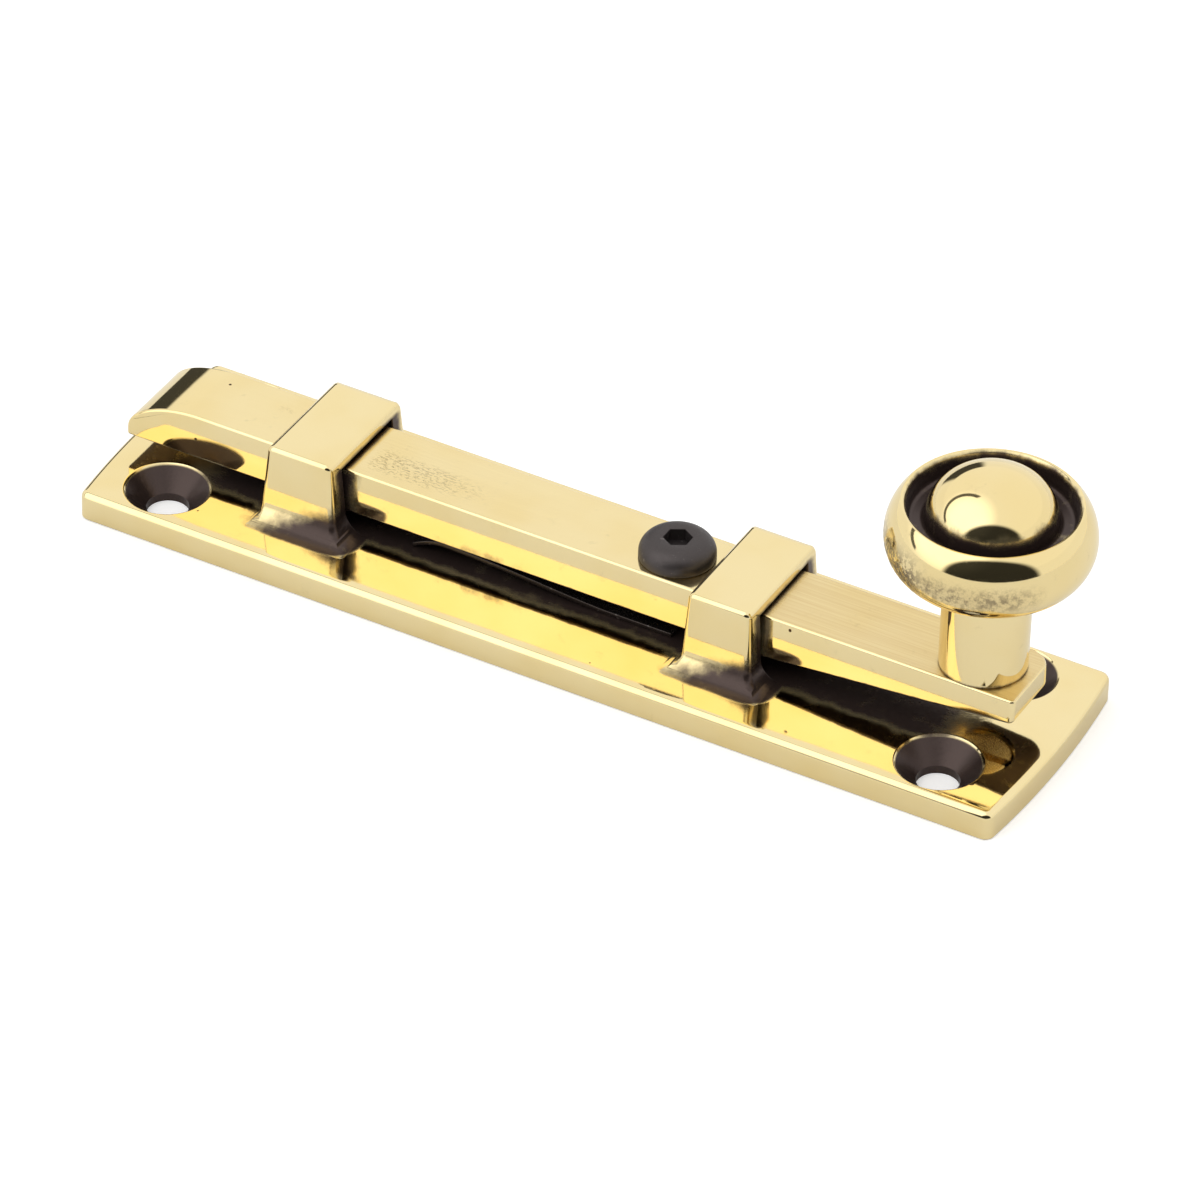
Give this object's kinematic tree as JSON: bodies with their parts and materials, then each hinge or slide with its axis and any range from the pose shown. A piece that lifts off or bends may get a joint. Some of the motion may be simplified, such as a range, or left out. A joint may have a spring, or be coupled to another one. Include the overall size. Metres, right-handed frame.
{
  "type": "slide bolt latch",
  "caption": "Surface slide bolt: flat bar thrown by a mushroom knob through two guides cast on a countersunk back plate.",
  "frame": {"origin": "centre of the flat back of the plate, which lies against the door", "axes": "+X along the bolt towards the knob end, +Y across the plate, +Z off the door towards the knob; the bolt is thrown along -X"},
  "size_m": [0.1037, 0.026, 0.0319],
  "materials": {
    "cast_brass": "polished cast brass with dark aged patina left in the corners",
    "bar_brass": "polished brass bar with a fine lengthwise grain on top",
    "turned_brass": "polished turned brass with a dark aged groove",
    "screw_brass": "plain brass machine screw",
    "black_steel": "black oxide, satin",
    "spring_steel": "dark tempered spring steel",
    "rivet_steel": "dark steel rivet"
  },
  "bodies": {
    "base": {"base_plate": "cast_brass", "leaf_spring": "spring_steel", "spring_rivet": "rivet_steel"},
    "bolt": {"bolt_bar": "bar_brass", "knob": "turned_brass", "knob_screw": "screw_brass", "stop_screw": "black_steel"}
  },
  "joints": [
    {"name": "bolt_slide", "type": "slide", "parent": "base", "child": "bolt", "axis": [-1, 0, 0], "range_m": [0, 0.016]}
  ]
}
